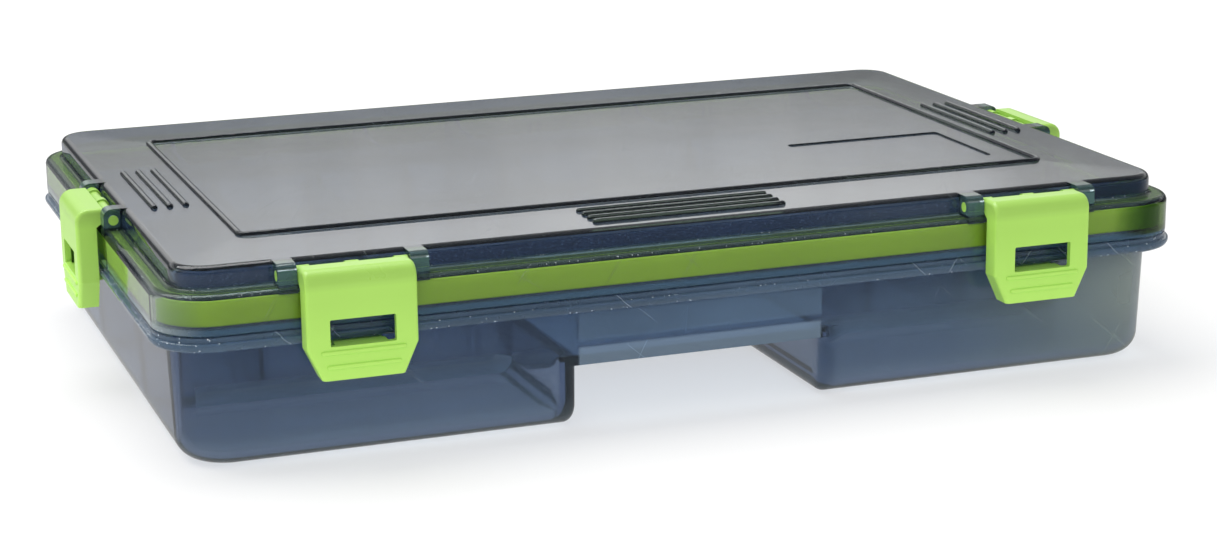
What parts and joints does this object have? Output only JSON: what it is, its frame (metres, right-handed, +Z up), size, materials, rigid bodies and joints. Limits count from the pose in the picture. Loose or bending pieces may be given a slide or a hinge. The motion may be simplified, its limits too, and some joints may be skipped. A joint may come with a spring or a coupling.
{
  "type": "waterproof lure box",
  "caption": "Flat waterproof lure box in smoke-tinted translucent plastic: hinged lid with a raised top, lime-green seal and snap latches, fixed rows and loose dividers.",
  "frame": {"origin": "centre of the underside, on the plane the box rests on", "axes": "+X along the length towards the label recess, +Y towards the hinges, +Z up"},
  "size_m": [0.3592, 0.2462, 0.064],
  "materials": {
    "smoke_tub": "glossy",
    "smoke_lid": "glossy",
    "smoke_divider": "glossy",
    "green_seal": "matte",
    "green_latch": "glossy",
    "steel_pin": "satin"
  },
  "bodies": {
    "tub": {"base_tub": "smoke_tub", "divider_mid_1": "smoke_divider", "divider_mid_2": "smoke_divider", "divider_mid_3": "smoke_divider", "divider_mid_4": "smoke_divider", "divider_mid_5": "smoke_divider", "divider_mid_6": "smoke_divider", "divider_rear_1": "smoke_divider", "divider_rear_2": "smoke_divider", "divider_rear_3": "smoke_divider", "divider_rear_4": "smoke_divider", "divider_rear_5": "smoke_divider", "hinge_pin_left": "steel_pin", "hinge_pin_mid": "steel_pin", "hinge_pin_right": "steel_pin"},
    "lid": {"lid_shell": "smoke_lid", "lid_seal": "green_seal"},
    "front_left_latch": {"latch_front_left": "green_latch"},
    "front_right_latch": {"latch_front_right": "green_latch"},
    "left_latch": {"latch_side_left": "green_latch"},
    "right_latch": {"latch_side_right": "green_latch"}
  },
  "joints": [
    {"name": "lid_hinge", "type": "hinge", "parent": "tub", "child": "lid", "pos_m": [0, 0.1199, 0.044], "axis": [-1, 0, 0], "range_deg": [0, 110]},
    {"name": "front_left_latch_pivot", "type": "hinge", "parent": "lid", "child": "front_left_latch", "pos_m": [-0.1129, -0.1113, 0.0589], "axis": [-1, 0, 0], "range_deg": [0, 90]},
    {"name": "front_right_latch_pivot", "type": "hinge", "parent": "lid", "child": "front_right_latch", "pos_m": [0.1129, -0.1113, 0.0589], "axis": [-1, 0, 0], "range_deg": [0, 90]},
    {"name": "left_latch_pivot", "type": "hinge", "parent": "lid", "child": "left_latch", "pos_m": [-0.1678, 0, 0.0589], "axis": [0, 1, 0], "range_deg": [0, 90]},
    {"name": "right_latch_pivot", "type": "hinge", "parent": "lid", "child": "right_latch", "pos_m": [0.1678, 0, 0.0589], "axis": [0, -1, 0], "range_deg": [0, 90]}
  ]
}
